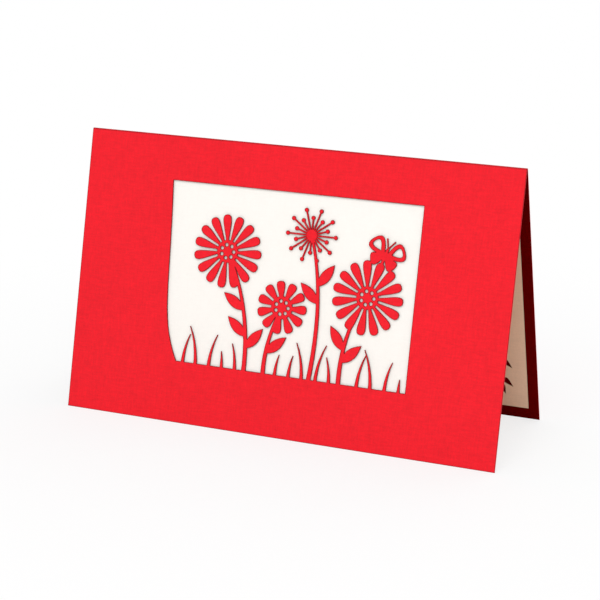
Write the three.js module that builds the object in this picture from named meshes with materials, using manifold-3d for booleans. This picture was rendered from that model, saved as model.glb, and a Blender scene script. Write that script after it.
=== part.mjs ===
// Folded greeting card that stands as a tent on its two free edges, with the fold on top.
// A stiff red cover has a window with a paper-cut meadow, and a cream liner lies inside it.
// Millimetres, +Z up. X runs along the fold and the front panel is on the -Y side.
// The origin is on the surface that the card stands on, below the middle of the fold.

import * as THREE from 'three';
import * as BufferGeometryUtils from 'three/addons/utils/BufferGeometryUtils.js';
import Module from 'manifold-3d';

const wasm = await Module();
wasm.setup();

// Cover sheet
const CARD_WIDTH = 200;
const PANEL_HEIGHT = 125;
const OPENING_ANGLE = 29.8;
const COVER_THICKNESS = 0.4;
const COVER_FOLD_RADIUS = 0.7;

// Liner sheet, folded once inside the cover
const LINER_THICKNESS = 0.25;
const LINER_FOLD_RADIUS = 0.4;
const LINER_SIDE_MARGIN = 4.6;
const LINER_BOTTOM_MARGIN = 5.75;
const LINER_GAP = 0.3;

// Window in the front panel, whose left side sweeps in towards the bottom
const WINDOW_WIDTH = 116;
const WINDOW_HEIGHT = 78.5;
const WINDOW_BOTTOM_MARGIN = 27;
const WINDOW_SWEEP_WIDTH = 9.3;
const WINDOW_SWEEP_HEIGHT = 28;
const SWEEP_UPPER_PULL = 0.35;
const SWEEP_LOWER_PULL = 0.65;

// Stems of the paper-cut meadow, which reach down into the panel below the window
const STEM_FOOT_WIDTH = 2.1;
const STEM_TOP_WIDTH = 1.2;
const ROOT_DEPTH = 2;
const LEAF_LENGTH = 12;
const LEAF_WIDTH = 4.6;
const LEAF_SPREAD = THREE.MathUtils.degToRad(42);
const LEAF_BELLY = 0.42;

// Daisies, whose petals are widest near their tips
const LARGE_DAISY_RADIUS = 16;
const SMALL_DAISY_RADIUS = 11.5;
const DAISY_EYE_RADIUS = 5;
const EYE_HOLE_RADIUS = 0.75;
const EYE_HOLE_CIRCLE_RADIUS = 2.9;
const EYE_HOLES = 7;
const PETAL_WIDTH = 4;
const PETAL_WAIST = 0.2;
const PETAL_WAIST_REACH = 0.8;
const PETAL_SPACING = 6.6;

// Seed head
const SEED_HEAD_RADIUS = 11;
const SEED_HEAD_INNER_RADIUS = 7.4;
const SEED_HEAD_CORE_RADIUS = 1.7;
const SEED_RADIUS = 0.95;
const SEED_STALK_WIDTH = 0.75;
const SEED_SPACING = 3.5;

// Butterfly on a petal of the right daisy
const BUTTERFLY_ANGLE = THREE.MathUtils.degToRad(72);
const UPPER_WING_LENGTH = 9.5;
const UPPER_WING_WIDTH = 7;
const UPPER_WING_ANGLE = THREE.MathUtils.degToRad(52);
const LOWER_WING_LENGTH = 6.5;
const LOWER_WING_WIDTH = 5;
const LOWER_WING_ANGLE = THREE.MathUtils.degToRad(118);
const WING_WAIST = 0.38;
const WING_HOLE_SCALE = 0.5;
const WING_HOLE_START = 0.36;
const BODY_LENGTH = 7.5;
const BODY_WIDTH = 1.4;
const FEELER_LENGTH = 4.5;
const FEELER_WIDTH = 0.6;
const FEELER_ANGLE = THREE.MathUtils.degToRad(26);
const PERCH_OVERLAP = 1;

// Grass along the window's lower edge, with a wave's step from blade to blade in radians
const GRASS_SPACING = 6.2;
const GRASS_WIDTH = 1.8;
const GRASS_TIP_WIDTH = 0.35;
const GRASS_SHORT = 5;
const GRASS_TALL = 16;
const GRASS_LEAN = 4;
const GRASS_WAVE = 2.4;

// Sprig of drop-shaped leaves cut through the liner's back half, drooping to the right and left in turn
const SPRIG_LEAF_LENGTH = 5.8;
const SPRIG_LEAF_WIDTH = 2.6;
const SPRIG_LEAF_WAIST = 0.34;
const SPRIG_LEAF_DROOP = THREE.MathUtils.degToRad(44);
const SPRIG_END_TILT = THREE.MathUtils.degToRad(20);
const SPRIG_HALF_WIDTH = 5.6;
const SPRIG_LEAF_SPACING = 4.9;
const SPRIG_LEAVES = 4;
const SPRIG_END_DROP = 4.2;
const SPRIG_SIDE_MARGIN = 12;
const SPRIG_BOTTOM_MARGIN = 10.5;

// Points along the round outlines
const FOLD_STEPS = 10;
const SWEEP_STEPS = 14;
const STEM_STEPS = 12;
const LEAF_STEPS = 9;
const PETAL_STEPS = 9;
const EYE_STEPS = 30;
const DOT_STEPS = 12;
const GRASS_STEPS = 5;

// Cutters reach this far past the sheets that they go through
const CUT_CLEARANCE = 1;

// Places in the window are shares of its width and height, from its lower left corner.
// A leaf stands at a share of its stem's length, on the left side for 1 and the right for -1.
const LEFT_DAISY = {
  radius: LARGE_DAISY_RADIUS,
  foot: 0.36,
  bend: [0.37, 0.35],
  head: [0.25, 0.64],
  leaves: [[0.2, -1], [0.29, 1], [0.5, 1]],
};
const MIDDLE_DAISY = {
  radius: SMALL_DAISY_RADIUS,
  foot: 0.44,
  bend: [0.43, 0.16],
  head: [0.49, 0.37],
  leaves: [[0.36, -1]],
};
const RIGHT_DAISY = {
  radius: LARGE_DAISY_RADIUS,
  foot: 0.74,
  bend: [0.73, 0.28],
  head: [0.82, 0.48],
  leaves: [[0.24, -1], [0.36, 1]],
};
const SEED_PLANT = {
  foot: 0.62,
  bend: [0.66, 0.45],
  head: [0.58, 0.78],
  leaves: [[0.5, 1], [0.62, -1]],
};
const DAISIES = [LEFT_DAISY, MIDDLE_DAISY, RIGHT_DAISY];

const FULL_TURN = 2 * Math.PI;
const LEAN = THREE.MathUtils.degToRad(OPENING_ANGLE / 2);

// The cover's fold centre is on Z, above free edges whose inner corners are on the ground
const COVER_FLAT = PANEL_HEIGHT - COVER_FOLD_RADIUS;
const COVER_INNER_RADIUS = COVER_FOLD_RADIUS - COVER_THICKNESS;
const COVER_FOLD_Z = COVER_FLAT * Math.cos(LEAN) - COVER_INNER_RADIUS * Math.sin(LEAN);

// The liner's fold is lower, where its faces keep the gap to the cover's inner faces
const LINER_DROP = (LINER_FOLD_RADIUS + LINER_GAP - COVER_INNER_RADIUS) / Math.sin(LEAN);
const LINER_FOLD_Z = COVER_FOLD_Z - LINER_DROP;
const LINER_FLAT = COVER_FLAT - LINER_BOTTOM_MARGIN - LINER_DROP * Math.cos(LEAN);
const LINER_WIDTH = CARD_WIDTH - 2 * LINER_SIDE_MARGIN;

// Panel frames: x along the card from its middle, y up the panel from its free edge, z square to it
const FRONT_PANEL = panelFrame(-1);
const BACK_PANEL = panelFrame(1);

function panelFrame(side) {
  const along = new THREE.Vector3(1, 0, 0);
  const up = new THREE.Vector3(0, -side * Math.sin(LEAN), Math.cos(LEAN));
  const outward = new THREE.Vector3(0, side * Math.cos(LEAN), Math.sin(LEAN));
  const freeEdge = new THREE.Vector3(0, 0, COVER_FOLD_Z);
  freeEdge.addScaledVector(outward, COVER_FOLD_RADIUS).addScaledVector(up, -COVER_FLAT);
  const square = new THREE.Vector3().crossVectors(along, up);
  return new THREE.Matrix4().makeBasis(along, up, square).setPosition(freeEdge);
}

// A closed geometry as a solid that can be cut and joined
function solidOf(geometry) {
  geometry.deleteAttribute('normal');
  geometry.deleteAttribute('uv');
  const merged = BufferGeometryUtils.mergeVertices(geometry);
  return new wasm.Manifold(new wasm.Mesh({
    numProp: 3,
    vertProperties: merged.attributes.position.array,
    triVerts: new Uint32Array(merged.index.array),
  }));
}

function geometryOf(solid) {
  const mesh = solid.getMesh();
  const geometry = new THREE.BufferGeometry();
  geometry.setAttribute('position', new THREE.BufferAttribute(mesh.vertProperties, 3));
  geometry.setIndex(new THREE.BufferAttribute(mesh.triVerts, 1));
  return geometry;
}

function joined(solids) {
  return solids.reduce((whole, solid) => whole.add(solid));
}

// Section of a sheet that is folded once, in the YZ plane around the centre of its fold
function foldedSection(flat, thickness, foldRadius) {
  const arc = (radius, from, to) => {
    return new THREE.EllipseCurve(0, 0, radius, radius, from, to, from > to).getPoints(FOLD_STEPS);
  };
  const outer = arc(foldRadius, LEAN, Math.PI - LEAN);
  const inner = arc(foldRadius - thickness, Math.PI - LEAN, LEAN);
  const down = (point) => {
    const along = new THREE.Vector2(Math.sign(point.x) * Math.sin(LEAN), -Math.cos(LEAN));
    return point.clone().addScaledVector(along, flat);
  };
  return new THREE.Shape([
    down(outer[0]),
    ...outer,
    down(outer.at(-1)),
    down(inner[0]),
    ...inner,
    down(inner.at(-1)),
  ]);
}

function foldedSheet({ width, flat, thickness, foldRadius, foldZ }) {
  const section = foldedSection(flat, thickness, foldRadius);
  const geometry = new THREE.ExtrudeGeometry(section, { depth: width, bevelEnabled: false });
  const sectionX = new THREE.Vector3(0, 1, 0);
  const sectionY = new THREE.Vector3(0, 0, 1);
  const alongFold = new THREE.Vector3(1, 0, 0);
  const frame = new THREE.Matrix4().makeBasis(sectionX, sectionY, alongFold);
  geometry.applyMatrix4(frame.setPosition(-width / 2, 0, foldZ));
  return solidOf(geometry);
}

// An outline on a panel as a prism that goes through both sheets there
function prism(shape, panel) {
  const reach = COVER_THICKNESS + LINER_GAP + LINER_THICKNESS + CUT_CLEARANCE;
  const geometry = new THREE.ExtrudeGeometry(shape, { depth: 2 * reach, bevelEnabled: false });
  geometry.translate(0, 0, -reach);
  geometry.applyMatrix4(panel);
  return solidOf(geometry);
}

function windowPlace([across, up]) {
  const place = new THREE.Vector2(across * WINDOW_WIDTH, up * WINDOW_HEIGHT);
  return place.add(new THREE.Vector2(-WINDOW_WIDTH / 2, WINDOW_BOTTOM_MARGIN));
}

function windowShape() {
  const corner = windowPlace([0, 0]);
  const sweep = new THREE.CubicBezierCurve(
    windowPlace([0, 1]),
    corner.clone().add(new THREE.Vector2(WINDOW_SWEEP_WIDTH * SWEEP_UPPER_PULL, WINDOW_SWEEP_HEIGHT)),
    corner.clone().add(new THREE.Vector2(0, WINDOW_SWEEP_HEIGHT * SWEEP_LOWER_PULL)),
    corner.clone().add(new THREE.Vector2(WINDOW_SWEEP_WIDTH, 0)),
  );
  return new THREE.Shape([windowPlace([1, 0]), windowPlace([1, 1]), ...sweep.getPoints(SWEEP_STEPS)]);
}

function outlineAt(points, place, angle) {
  const centre = new THREE.Vector2();
  return new THREE.Shape(points.map((point) => point.clone().rotateAround(centre, angle).add(place)));
}

function circle(centre, radius, steps) {
  const round = new THREE.EllipseCurve(centre.x, centre.y, radius, radius);
  return new THREE.Shape(round.getPoints(steps).slice(1));
}

// A place at a distance and a direction from another
function placeFrom(start, distance, angle) {
  return start.clone().add(new THREE.Vector2(distance * Math.cos(angle), distance * Math.sin(angle)));
}

// A strip along a curve, whose width changes evenly from one end to the other
function strip(curve, startWidth, endWidth, steps) {
  const left = [];
  const right = [];
  for (let step = 0; step <= steps; step += 1) {
    const along = step / steps;
    const point = curve.getPoint(along);
    const leftward = curve.getTangent(along).angle() + Math.PI / 2;
    const halfWidth = THREE.MathUtils.lerp(startWidth, endWidth, along) / 2;
    left.push(placeFrom(point, halfWidth, leftward));
    right.unshift(placeFrom(point, -halfWidth, leftward));
  }
  return new THREE.Shape([...left, ...right]);
}

// Leaf with two pointed ends, from its base along +X
function leafPoints(length, width) {
  const leaf = new THREE.Path();
  leaf.moveTo(0, 0);
  leaf.quadraticCurveTo(LEAF_BELLY * length, width, length, 0);
  leaf.quadraticCurveTo(LEAF_BELLY * length, -width, 0, 0);
  return leaf.getPoints(LEAF_STEPS).slice(1);
}

// Petal or wing with a pointed base and a round tip, from its base along +X.
// The waist is how full it is near its base, as a share of its width.
function petalPoints(length, width, waist) {
  const petal = new THREE.Path();
  const waistX = (PETAL_WAIST_REACH - waist) * length;
  petal.moveTo(0, 0);
  petal.bezierCurveTo(waistX, -waist * width, length, -width, length, 0);
  petal.bezierCurveTo(length, width, waistX, waist * width, 0, 0);
  return petal.getPoints(PETAL_STEPS).slice(1);
}

// Each motif gives the shapes that stay in the window and the holes through them
function plant({ foot, bend, head, leaves }) {
  const root = windowPlace([foot, 0]).sub(new THREE.Vector2(0, ROOT_DEPTH));
  const stem = new THREE.QuadraticBezierCurve(root, windowPlace(bend), windowPlace(head));
  const blades = leaves.map(([along, side]) => {
    const angle = stem.getTangent(along).angle() + side * LEAF_SPREAD;
    return outlineAt(leafPoints(LEAF_LENGTH, LEAF_WIDTH), stem.getPoint(along), angle);
  });
  return { shapes: [strip(stem, STEM_FOOT_WIDTH, STEM_TOP_WIDTH, STEM_STEPS), ...blades], holes: [] };
}

// Angles that share out a full turn
function turns(count) {
  return Array.from({ length: count }, (_, index) => (FULL_TURN * index) / count);
}

function daisyHead({ head, radius }) {
  const centre = windowPlace(head);
  const petal = petalPoints(radius, PETAL_WIDTH, PETAL_WAIST);
  const petals = turns(Math.round((FULL_TURN * radius) / PETAL_SPACING));
  const eye = circle(centre, DAISY_EYE_RADIUS, EYE_STEPS);
  return {
    shapes: [eye, ...petals.map((angle) => outlineAt(petal, centre, angle))],
    holes: turns(EYE_HOLES).map((angle) => {
      return circle(placeFrom(centre, EYE_HOLE_CIRCLE_RADIUS, angle), EYE_HOLE_RADIUS, DOT_STEPS);
    }),
  };
}

// Seeds at the ends of thin stalks, far and near in turn
function seedHead({ head }) {
  const centre = windowPlace(head);
  const pairs = Math.round((Math.PI * SEED_HEAD_RADIUS) / SEED_SPACING);
  const seeds = turns(2 * pairs).flatMap((angle, index) => {
    const distance = index % 2 === 0 ? SEED_HEAD_RADIUS : SEED_HEAD_INNER_RADIUS;
    const seed = placeFrom(centre, distance, angle);
    const stalk = strip(new THREE.LineCurve(centre, seed), SEED_STALK_WIDTH, SEED_STALK_WIDTH, 1);
    return [stalk, circle(seed, SEED_RADIUS, DOT_STEPS)];
  });
  return { shapes: [circle(centre, SEED_HEAD_CORE_RADIUS, DOT_STEPS), ...seeds], holes: [] };
}

// Seen from above, with its tail over the daisy's rim and its head away from it
function butterfly({ head, radius }, angle) {
  const middle = placeFrom(windowPlace(head), radius + BODY_LENGTH / 2 - PERCH_OVERLAP, angle);
  const tail = placeFrom(middle, -BODY_LENGTH / 2, angle);
  const front = placeFrom(middle, BODY_LENGTH / 2, angle);
  const upperWing = petalPoints(UPPER_WING_LENGTH, UPPER_WING_WIDTH, WING_WAIST);
  const lowerWing = petalPoints(LOWER_WING_LENGTH, LOWER_WING_WIDTH, WING_WAIST);
  const wingHole = upperWing.map((point) => point.clone().multiplyScalar(WING_HOLE_SCALE));
  const shapes = [strip(new THREE.LineCurve(tail, front), BODY_WIDTH, BODY_WIDTH, 1)];
  const holes = [];
  for (const side of [-1, 1]) {
    const upper = angle + side * UPPER_WING_ANGLE;
    const holeBase = placeFrom(middle, WING_HOLE_START * UPPER_WING_LENGTH, upper);
    const feeler = placeFrom(front, FEELER_LENGTH, angle + side * FEELER_ANGLE);
    shapes.push(outlineAt(upperWing, middle, upper));
    shapes.push(outlineAt(lowerWing, middle, angle + side * LOWER_WING_ANGLE));
    shapes.push(strip(new THREE.LineCurve(front, feeler), FEELER_WIDTH, FEELER_WIDTH, 1));
    holes.push(outlineAt(wingHole, holeBase, upper));
  }
  return { shapes, holes };
}

// Blades whose heights and leans follow a wave, clear of the stems' feet
function grass() {
  const span = WINDOW_WIDTH - WINDOW_SWEEP_WIDTH;
  const count = Math.round(span / GRASS_SPACING);
  const shapes = [];
  for (let index = 0; index < count; index += 1) {
    const across = WINDOW_SWEEP_WIDTH + ((index + 0.5) * span) / count;
    const isClear = [...DAISIES, SEED_PLANT].every(({ foot }) => {
      return Math.abs(foot * WINDOW_WIDTH - across) > STEM_FOOT_WIDTH;
    });
    if (isClear) {
      const wave = Math.sin(GRASS_WAVE * (index + 1));
      const height = THREE.MathUtils.lerp(GRASS_SHORT, GRASS_TALL, Math.abs(wave));
      const base = windowPlace([across / WINDOW_WIDTH, 0]);
      const tip = base.clone().add(new THREE.Vector2(GRASS_LEAN * wave, height));
      const bend = base.clone().add(new THREE.Vector2(0, height / 2));
      const root = base.clone().sub(new THREE.Vector2(0, ROOT_DEPTH));
      const blade = new THREE.QuadraticBezierCurve(root, bend, tip);
      shapes.push(strip(blade, GRASS_WIDTH, GRASS_TIP_WIDTH, GRASS_STEPS));
    }
  }
  return { shapes, holes: [] };
}

// The meadow's shapes joined, before they are kept back from the window's cut
function meadow() {
  const motifs = [
    ...DAISIES.map(plant),
    ...DAISIES.map(daisyHead),
    plant(SEED_PLANT),
    seedHead(SEED_PLANT),
    butterfly(RIGHT_DAISY, BUTTERFLY_ANGLE),
    grass(),
  ];
  const kept = joined(motifs.flatMap(({ shapes }) => shapes).map((shape) => prism(shape, FRONT_PANEL)));
  const holes = joined(motifs.flatMap((motif) => motif.holes).map((shape) => prism(shape, FRONT_PANEL)));
  return kept.subtract(holes);
}

// Each leaf is drawn from its pointed tip back to its round head
function sprig() {
  const leaf = petalPoints(SPRIG_LEAF_LENGTH, SPRIG_LEAF_WIDTH, SPRIG_LEAF_WAIST);
  const footX = LINER_WIDTH / 2 - SPRIG_SIDE_MARGIN;
  const foot = new THREE.Vector2(footX, LINER_BOTTOM_MARGIN + SPRIG_BOTTOM_MARGIN);
  const lowTip = foot.clone();
  lowTip.add(new THREE.Vector2(SPRIG_LEAF_LENGTH * Math.sin(SPRIG_END_TILT), -SPRIG_END_DROP));
  const topTip = foot.clone();
  topTip.y += SPRIG_LEAVES * SPRIG_LEAF_SPACING + SPRIG_LEAF_LENGTH;
  const shapes = [
    outlineAt(leaf, lowTip, Math.PI / 2 + SPRIG_END_TILT),
    outlineAt(leaf, topTip, -Math.PI / 2),
  ];
  for (let index = 0; index < SPRIG_LEAVES; index += 1) {
    const side = index % 2 === 0 ? 1 : -1;
    const tip = foot.clone().add(new THREE.Vector2(side * SPRIG_HALF_WIDTH, index * SPRIG_LEAF_SPACING));
    shapes.push(outlineAt(leaf, tip, Math.PI / 2 + side * (Math.PI / 2 - SPRIG_LEAF_DROOP)));
  }
  return joined(shapes.map((shape) => prism(shape, BACK_PANEL)));
}

function coverSolid() {
  const sheet = foldedSheet({
    width: CARD_WIDTH,
    flat: COVER_FLAT,
    thickness: COVER_THICKNESS,
    foldRadius: COVER_FOLD_RADIUS,
    foldZ: COVER_FOLD_Z,
  });
  return sheet.subtract(prism(windowShape(), FRONT_PANEL).subtract(meadow()));
}

function linerSolid() {
  const sheet = foldedSheet({
    width: LINER_WIDTH,
    flat: LINER_FLAT,
    thickness: LINER_THICKNESS,
    foldRadius: LINER_FOLD_RADIUS,
    foldZ: LINER_FOLD_Z,
  });
  return sheet.subtract(sprig());
}

function piece(name, solid, color, roughness) {
  const material = new THREE.MeshStandardMaterial({ color, roughness, metalness: 0, flatShading: true });
  const mesh = new THREE.Mesh(geometryOf(solid), material);
  mesh.name = name;
  return mesh;
}

const card = new THREE.Group();
card.add(piece('cover', coverSolid(), '#ee2838', 0.75));
card.add(piece('liner', linerSolid(), '#f8efe2', 0.85));

export default card;
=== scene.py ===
"""Folded greeting card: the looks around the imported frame, in metres."""

from math import cos, radians, sin

import bmesh
import bpy
from mathutils import Matrix, Vector


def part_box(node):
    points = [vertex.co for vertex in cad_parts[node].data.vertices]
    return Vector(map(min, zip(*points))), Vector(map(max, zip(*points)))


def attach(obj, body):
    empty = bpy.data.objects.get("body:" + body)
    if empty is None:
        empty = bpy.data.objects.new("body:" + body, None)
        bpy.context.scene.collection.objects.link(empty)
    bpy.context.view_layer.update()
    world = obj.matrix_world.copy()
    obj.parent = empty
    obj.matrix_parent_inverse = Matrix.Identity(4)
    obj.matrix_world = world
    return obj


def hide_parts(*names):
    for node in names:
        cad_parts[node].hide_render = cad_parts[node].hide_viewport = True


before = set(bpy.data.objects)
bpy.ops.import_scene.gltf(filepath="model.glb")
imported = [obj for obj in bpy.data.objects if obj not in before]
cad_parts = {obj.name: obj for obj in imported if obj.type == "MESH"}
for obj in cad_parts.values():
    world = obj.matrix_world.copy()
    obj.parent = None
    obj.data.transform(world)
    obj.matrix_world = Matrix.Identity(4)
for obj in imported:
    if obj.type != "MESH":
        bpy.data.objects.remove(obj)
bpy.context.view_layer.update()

# The photograph's camera, found from the corners of the card
CAMERA_AZIMUTH = radians(23.274)
CAMERA_ELEVATION = radians(17.701)
CAMERA_ROLL = radians(-0.162)
CAMERA_DISTANCE = 0.83587
CAMERA_ASIDE = -0.000568
CAMERA_UP = 0.050021
CAMERA_LENS = 112.89
CAMERA_SENSOR = 36.0

# Sheets: how their meshes are cleaned, and how round their trimmed edges are
MERGE_DISTANCE = 0.000001
FLAT_ANGLE = radians(0.05)
SHARP_ANGLE = radians(25)
TRIM_RADIUS = 0.00005
TRIM_SEGMENTS = 3
NEAR = 0.000002
FOOT_REACH = 0.00015

# The folds' outer radii and the panels' lean from upright, as the CAD has them
FOLD_RADIUS = {"cover": 0.0007, "liner": 0.0004}
LEAN = radians(14.9)

# Material slots of a sheet, in this order
OUTSIDE = 0
INSIDE = 1
LASER_CUT = 2
TRIMMED = 3
FACING = 0.5

# Colours as they are seen, 0 to 255
RED_OUTSIDE = (242, 27, 41)
# The cover's inside is the same red card, painted darker as the shade inside the fold
RED_INSIDE_PAINTED_SHADE = (97, 1, 1)
# Scorch colour of the red: laser scorch, also used for painted shade at the cut edges and along the fold
RED_SCORCH_AND_SHADE = (104, 16, 16)
RED_TRIMMED = (226, 70, 78)
CREAM_OUTSIDE = (250, 247, 241)
# The liner's inside is the same cream paper, painted darker and warmer as the shade and red bounce light
# inside the fold
CREAM_INSIDE_PAINTED_SHADE = (243, 205, 177)
# Scorch colour of the cream: laser scorch, also used for painted shade at its cut edges
CREAM_SCORCH_AND_SHADE = (176, 146, 112)
CREAM_TRIMMED = (236, 224, 204)
FLOOR_WHITE = (244, 244, 244)

# Paper grain, as the sizes of its patches in metres
FIBRE_LENGTH = 0.0042
FIBRE_WIDTH = 0.00075
GRAIN_SIZE = 0.00045
MOTTLE_SIZE = 0.005
CLOUD_SIZE = 0.045
COCKLE_SIZE = 0.03

# Weights of the fibres along and across, grain, mottle and cloud in a sheet's colour,
# and of the first three in its bump
TONE_WEIGHTS = (0.7, 0.6, 0.9, 0.25, 0.3)
BUMP_WEIGHTS = (0.8, 0.6, 1.0)
EDGE_TONE_WEIGHTS = (1.0, 0.8)
NOISE_LOW = 0.3
NOISE_HIGH = 0.7

# Depths that the paper's bumps stand for, and how strongly they show
GRAIN_DEPTH = 0.00005
COCKLE_DEPTH = 0.0004
GRAIN_STRENGTH = 0.35
EDGE_STRENGTH = 0.4
COCKLE_STRENGTH = 0.5

# Surface of the faces and of the cut edges
FACE_ROUGHNESS = (0.68, 0.86)
EDGE_ROUGHNESS = (0.8, 0.95)
OUTSIDE_GLOSS = 0.2
EDGE_GLOSS = 0.25

# The darker rim beside a laser cut, narrower than the sheet is thick: partly laser scorch, partly painted
# shade at the cut edge
CARD_SCORCH_AND_SHADE_WIDTH = 0.00038
PAPER_SCORCH_AND_SHADE_WIDTH = 0.00022
SCORCH_AND_SHADE_SAMPLES = 8
SCORCH_AND_SHADE_START = 0.98
SCORCH_AND_SHADE_FULL = 0.84

# The painted shade along the fold's top, measured down from its top
FOLD_SHADE_WIDTH = 0.0008
FOLD_SHADE_SHARE = 0.75

# Floor: white to the camera from this far out, and a lifted shadow nearer in
WHITE_START = 0.08
WHITE_END = 0.30
SHADOW_LIFT = 0.75
FLOOR_SIZE = 6
FLOOR_ROUGHNESS = 0.9

# Lights, both aimed at the card's lower half, and the even light from all round
AIM = (0, 0, 0.05)
KEY_PLACE = (0.15, -0.85, 1.0)
KEY_SIZE = 0.9
KEY_POWER = 7.4
BACK_PLACE = (0.3, 0.9, 1.3)
BACK_SIZE = 1.2
BACK_POWER = 6
WORLD_STRENGTH = 0.6


def linear(colour):
    """An 8-bit display colour as the linear colour that a shader takes."""
    return [((c / 255 + 0.055) / 1.055) ** 2.4 if c > 10 else c / 255 / 12.92 for c in colour] + [1.0]


def make_camera():
    back = Vector((
        sin(CAMERA_AZIMUTH) * cos(CAMERA_ELEVATION),
        -cos(CAMERA_AZIMUTH) * cos(CAMERA_ELEVATION),
        sin(CAMERA_ELEVATION),
    ))
    level = Vector((cos(CAMERA_AZIMUTH), sin(CAMERA_AZIMUTH), 0))
    level_up = back.cross(level)
    right = cos(CAMERA_ROLL) * level + sin(CAMERA_ROLL) * level_up
    up = back.cross(right)
    data = bpy.data.cameras.new("camera")
    data.lens = CAMERA_LENS
    data.sensor_width = CAMERA_SENSOR
    data.sensor_fit = "HORIZONTAL"
    camera = bpy.data.objects.new("camera", data)
    turn = Matrix((right, up, back)).transposed().to_4x4()
    place = CAMERA_ASIDE * right + CAMERA_UP * up + CAMERA_DISTANCE * back
    camera.matrix_world = Matrix.Translation(place) @ turn
    bpy.context.collection.objects.link(camera)
    bpy.context.scene.camera = camera


class Nodes:
    """The node tree of a material or the world, with short calls that add nodes and give their outputs."""

    def __init__(self, owner):
        self.owner = owner
        owner.use_nodes = True
        self.tree = owner.node_tree
        self.shader = self.tree.nodes.get("Principled BSDF")
        self.place = self.add("ShaderNodeTexCoord").outputs["Object"]

    def seen(self):
        """1 for what the camera, a reflection or a view through glass sees, and 0 for light."""
        path = self.add("ShaderNodeLightPath")
        direct = self.math("MAXIMUM", path.outputs["Is Camera Ray"], path.outputs["Is Glossy Ray"])
        return self.math("MAXIMUM", direct, path.outputs["Is Transmission Ray"])

    def add(self, kind, **settings):
        node = self.tree.nodes.new(kind)
        for key, value in settings.items():
            setattr(node, key, value)
        return node

    def put(self, socket, value):
        """Links an output to the socket, or sets a plain value on it."""
        if isinstance(value, bpy.types.NodeSocket):
            self.tree.links.new(value, socket)
        else:
            socket.default_value = value

    def noise(self, size, detail=2.0, seed=0.0):
        """Noise from 0 to 1, whose patches have this size along X, Y and Z."""
        mapping = self.add("ShaderNodeMapping")
        self.put(mapping.inputs["Vector"], self.place)
        mapping.inputs["Location"].default_value = (seed, seed, seed)
        mapping.inputs["Scale"].default_value = [1 / s for s in size]
        noise = self.add("ShaderNodeTexNoise")
        self.put(noise.inputs["Vector"], mapping.outputs["Vector"])
        noise.inputs["Scale"].default_value = 1.0
        noise.inputs["Detail"].default_value = detail
        return noise.outputs["Fac"]

    def sum(self, weights):
        """The outputs added up, each from its middle value of a half and times its weight."""
        total = None
        for output, weight in weights:
            part = self.math("MULTIPLY_ADD", output, weight, -weight / 2)
            total = part if total is None else self.math("ADD", total, part)
        return total

    def math(self, operation, *values):
        node = self.add("ShaderNodeMath", operation=operation)
        for socket, value in zip(node.inputs, values):
            self.put(socket, value)
        return node.outputs["Value"]

    def range(self, value, from_low, from_high, to_low=0.0, to_high=1.0, smooth=False):
        node = self.add("ShaderNodeMapRange", interpolation_type="SMOOTHSTEP" if smooth else "LINEAR")
        node.inputs["From Min"].default_value = from_low
        node.inputs["From Max"].default_value = from_high
        node.inputs["To Min"].default_value = to_low
        node.inputs["To Max"].default_value = to_high
        self.put(node.inputs["Value"], value)
        return node.outputs["Result"]

    def mix(self, factor, first, second):
        node = self.add("ShaderNodeMix", data_type="RGBA")
        self.put(node.inputs["Factor"], factor)
        self.put(node.inputs[6], first)
        self.put(node.inputs[7], second)
        return node.outputs[2]

    def bump(self, height, depth, strength, normal=None):
        node = self.add("ShaderNodeBump")
        self.put(node.inputs["Height"], height)
        node.inputs["Distance"].default_value = depth
        node.inputs["Strength"].default_value = strength
        if normal is not None:
            self.put(node.inputs["Normal"], normal)
        return node.outputs["Normal"]


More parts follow.
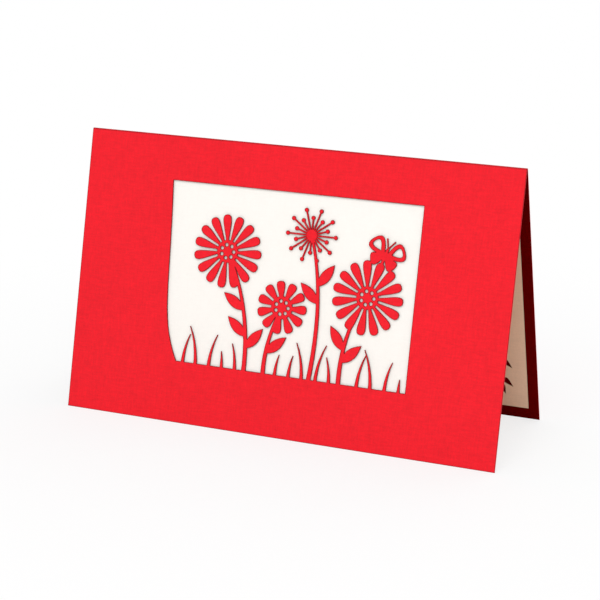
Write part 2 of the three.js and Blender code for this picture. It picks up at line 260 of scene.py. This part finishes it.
def paper_material(
    name, colour, spread, gloss=0.0, scorch_and_shade=None, scorch_and_shade_width=0.0, scorch_and_shade_share=0.0, fold_shade_top=0.0,
):
    """Uncoated card: fine fibres both ways, cloudy formation, and a darker rim at the cuts that is partly
    laser scorch, partly painted shade.

    The last argument is the height of a fold's top, below which the fold gets painted shade."""
    nodes = Nodes(bpy.data.materials.new(name))
    along = nodes.noise((FIBRE_LENGTH, FIBRE_WIDTH, FIBRE_WIDTH), detail=3)
    across = nodes.noise((FIBRE_WIDTH, FIBRE_LENGTH, FIBRE_LENGTH), detail=3, seed=3.7)
    grain = nodes.noise((GRAIN_SIZE,) * 3, detail=2, seed=1.3)
    mottle = nodes.noise((MOTTLE_SIZE,) * 3, detail=4, seed=5.1)
    cloud = nodes.noise((CLOUD_SIZE,) * 3, detail=2, seed=8.9)
    tone = nodes.range(nodes.sum(zip((along, across, grain, mottle, cloud), TONE_WEIGHTS)), -0.5, 0.5)
    base = linear(colour)
    dark = [c * (1 - spread) for c in base[:3]] + [1.0]
    light = [min(1.0, c * (1 + spread)) for c in base[:3]] + [1.0]
    shade = nodes.mix(tone, dark, light)
    if scorch_and_shade:
        # Darker rim beside the cuts: partly laser scorch, partly painted shade at the cut edge
        rim = nodes.add("ShaderNodeAmbientOcclusion", inside=True, only_local=True, samples=SCORCH_AND_SHADE_SAMPLES)
        rim.inputs["Distance"].default_value = scorch_and_shade_width
        reach = nodes.range(rim.outputs["AO"], SCORCH_AND_SHADE_START, SCORCH_AND_SHADE_FULL, 0.0, scorch_and_shade_share)
        patchy = nodes.range(mottle, NOISE_LOW, NOISE_HIGH, 0.6, 1.0)
        shade = nodes.mix(nodes.math("MULTIPLY", reach, patchy), shade, linear(scorch_and_shade))
    # Painted shade darkening the fold's top, where its rounding turns from the light
    if fold_shade_top:
        height = nodes.add("ShaderNodeSeparateXYZ")
        nodes.put(height.inputs["Vector"], nodes.place)
        fold_shade = nodes.range(height.outputs["Z"], fold_shade_top - FOLD_SHADE_WIDTH, fold_shade_top, 0.0, FOLD_SHADE_SHARE)
        fold_shade_breakup = nodes.range(along, 0.35, 0.65, 0.5, 1.0)
        shade = nodes.mix(nodes.math("MULTIPLY", fold_shade, fold_shade_breakup), shade, linear(scorch_and_shade))
    nodes.put(nodes.shader.inputs["Base Color"], shade)
    nodes.put(nodes.shader.inputs["Roughness"], nodes.range(grain, NOISE_LOW, NOISE_HIGH, *FACE_ROUGHNESS))
    nodes.shader.inputs["Specular IOR Level"].default_value = gloss
    waves = nodes.noise((COCKLE_SIZE,) * 3, detail=1, seed=2.2)
    cockle = nodes.bump(waves, COCKLE_DEPTH, COCKLE_STRENGTH)
    relief = nodes.sum(zip((along, across, grain), BUMP_WEIGHTS))
    nodes.put(nodes.shader.inputs["Normal"], nodes.bump(relief, GRAIN_DEPTH, GRAIN_STRENGTH, cockle))
    return nodes.owner


def edge_material(name, colour, burnt):
    """The cut through a sheet, with its layers of fibre and patches where the cut went slower."""
    nodes = Nodes(bpy.data.materials.new(name))
    layers = nodes.noise((GRAIN_SIZE, GRAIN_SIZE / 6, GRAIN_SIZE / 6), detail=3, seed=4.4)
    patches = nodes.noise((MOTTLE_SIZE / 2,) * 3, detail=3, seed=6.6)
    tone = nodes.range(nodes.sum(zip((layers, patches), EDGE_TONE_WEIGHTS)), -0.5, 0.5)
    nodes.put(nodes.shader.inputs["Base Color"], nodes.mix(tone, linear(burnt), linear(colour)))
    nodes.put(nodes.shader.inputs["Roughness"], nodes.range(layers, NOISE_LOW, NOISE_HIGH, *EDGE_ROUGHNESS))
    nodes.shader.inputs["Specular IOR Level"].default_value = EDGE_GLOSS
    nodes.put(nodes.shader.inputs["Normal"], nodes.bump(layers, GRAIN_DEPTH / 2, EDGE_STRENGTH))
    return nodes.owner


def scaled(colour, share):
    return tuple(c * share for c in colour)


def outward(place, fold_height):
    """The direction that a folded sheet's outside faces at a place."""
    radial = Vector((0, place.y, place.z - fold_height))
    square = Vector((0, cos(LEAN) if place.y > 0 else -cos(LEAN), sin(LEAN)))
    return radial.normalized() if place.z > fold_height else square


def mesh_in_order(name, built):
    """A mesh of the triangles, sorted by place, since the order that the bevel leaves varies between runs."""
    points = sorted(tuple(vert.co) for vert in built.verts)
    number = {point: index for index, point in enumerate(points)}
    triangles = []
    for face in built.faces:
        corners = [number[tuple(vert.co)] for vert in face.verts]
        first = corners.index(min(corners))
        triangles.append((corners[first:] + corners[:first], face.material_index))
    triangles.sort()
    mesh = bpy.data.meshes.new(name)
    mesh.from_pydata(points, [], [corners for corners, _ in triangles])
    mesh.polygons.foreach_set("material_index", [material for _, material in triangles])
    mesh.polygons.foreach_set("use_smooth", [True] * len(triangles))
    mesh.update()
    return mesh


def sheet(node_name, name, materials):
    """A CAD sheet with clean faces, rounded trimmed edges and a finish for each side of it."""
    low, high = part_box(node_name)
    built = bmesh.new()
    built.from_mesh(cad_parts[node_name].data)
    bmesh.ops.remove_doubles(built, verts=built.verts, dist=MERGE_DISTANCE)
    bmesh.ops.dissolve_limit(built, angle_limit=FLAT_ANGLE, verts=built.verts, edges=built.edges)

    half_width = high[0]
    fold_height = high[2] - FOLD_RADIUS[node_name]
    foot = low[2]

    def is_side(point):
        return abs(abs(point.x) - half_width) < NEAR

    trimmed = [
        edge for edge in built.edges
        if edge.calc_face_angle(0) > SHARP_ANGLE and all(is_side(vert.co) for vert in edge.verts)
    ]
    bmesh.ops.bevel(
        built, geom=trimmed, offset=TRIM_RADIUS, offset_type="OFFSET", segments=TRIM_SEGMENTS,
        profile=0.5, affect="EDGES", clamp_overlap=False,
    )
    bmesh.ops.triangulate(built, faces=built.faces)
    for face in built.faces:
        facing = face.normal.dot(outward(face.calc_center_median(), fold_height))
        is_trimmed = any(is_side(vert.co) for vert in face.verts) and abs(face.normal.x) > FACING
        if facing > FACING:
            face.material_index = OUTSIDE
        elif facing < -FACING:
            face.material_index = INSIDE
        elif is_trimmed or face.calc_center_median().z < foot + FOOT_REACH:
            face.material_index = TRIMMED
        else:
            face.material_index = LASER_CUT
    mesh = mesh_in_order(name, built)
    built.free()
    mesh.set_sharp_from_angle(angle=SHARP_ANGLE)
    for material in materials:
        mesh.materials.append(material)
    piece = bpy.data.objects.new(name, mesh)
    bpy.context.collection.objects.link(piece)
    normals = piece.modifiers.new("normals", "WEIGHTED_NORMAL")
    normals.keep_sharp = True
    normals.weight = 100
    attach(piece, "root")
    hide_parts(node_name)
    return piece


def make_cover():
    return sheet("cover", "cover_sheet", (
        paper_material(
            "red card outside", RED_OUTSIDE, spread=0.2, gloss=OUTSIDE_GLOSS,
            scorch_and_shade=RED_SCORCH_AND_SHADE, scorch_and_shade_width=CARD_SCORCH_AND_SHADE_WIDTH, scorch_and_shade_share=0.85,
            fold_shade_top=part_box("cover")[1][2],
        ),
        # Painted shade: the inside's dark red stands for the shade inside the fold
        paper_material("red card inside painted shade", RED_INSIDE_PAINTED_SHADE, spread=0.3),
        edge_material("red card laser cut", RED_SCORCH_AND_SHADE, scaled(RED_SCORCH_AND_SHADE, 0.6)),
        edge_material("red card trimmed edge", RED_TRIMMED, RED_OUTSIDE),
    ))


def make_liner():
    return sheet("liner", "liner_sheet", (
        paper_material("cream paper outside", CREAM_OUTSIDE, spread=0.03, gloss=OUTSIDE_GLOSS),
        # Painted shade: the inside's warm tan stands for the cream paper in red-tinted shade
        paper_material(
            "cream paper inside painted shade", CREAM_INSIDE_PAINTED_SHADE, spread=0.08,
            scorch_and_shade=CREAM_SCORCH_AND_SHADE, scorch_and_shade_width=PAPER_SCORCH_AND_SHADE_WIDTH, scorch_and_shade_share=0.5,
        ),
        edge_material("cream paper laser cut", CREAM_SCORCH_AND_SHADE, scaled(CREAM_SCORCH_AND_SHADE, 0.7)),
        edge_material("cream paper trimmed edge", CREAM_TRIMMED, CREAM_INSIDE_PAINTED_SHADE),
    ))


def floor_material():
    """White to what looks at it from further out, with the card's shadow left in nearer to it."""
    nodes = Nodes(bpy.data.materials.new("floor"))
    nodes.shader.inputs["Roughness"].default_value = FLOOR_ROUGHNESS
    nodes.shader.inputs["Specular IOR Level"].default_value = 0.0
    nodes.shader.inputs["Base Color"].default_value = linear(FLOOR_WHITE)
    distance = nodes.add("ShaderNodeVectorMath", operation="LENGTH")
    nodes.put(distance.inputs[0], nodes.place)
    lift = nodes.range(distance.outputs["Value"], WHITE_START, WHITE_END, SHADOW_LIFT, 1.0, smooth=True)
    white = nodes.add("ShaderNodeEmission")
    both = nodes.add("ShaderNodeMixShader")
    nodes.put(both.inputs["Fac"], nodes.math("MULTIPLY", nodes.seen(), lift))
    nodes.put(both.inputs[1], nodes.shader.outputs["BSDF"])
    nodes.put(both.inputs[2], white.outputs["Emission"])
    nodes.put(nodes.tree.nodes["Material Output"].inputs["Surface"], both.outputs["Shader"])
    return nodes.owner


def make_floor():
    bpy.ops.mesh.primitive_plane_add(size=FLOOR_SIZE)
    floor = bpy.context.object
    floor.name = "floor"
    floor.data.materials.append(floor_material())


def area_light(name, place, size, power):
    data = bpy.data.lights.new(name, "AREA")
    data.shape = "SQUARE"
    data.size = size
    data.energy = power
    light = bpy.data.objects.new(name, data)
    light.location = place
    light.rotation_euler = (Vector(AIM) - Vector(place)).to_track_quat("-Z", "Y").to_euler()
    bpy.context.collection.objects.link(light)


def make_world():
    """An even light from all round, which looks plain white itself."""
    nodes = Nodes(bpy.data.worlds.new("world"))
    bpy.context.scene.world = nodes.owner
    background = nodes.tree.nodes["Background"]
    background.inputs["Color"].default_value = (1, 1, 1, 1)
    nodes.put(background.inputs["Strength"], nodes.range(nodes.seen(), 0.0, 1.0, WORLD_STRENGTH, 1.0))


make_camera()
make_floor()
make_cover()
make_liner()
area_light("key", KEY_PLACE, KEY_SIZE, KEY_POWER)
area_light("back", BACK_PLACE, BACK_SIZE, BACK_POWER)
make_world()
bpy.context.scene.view_settings.view_transform = "Standard"
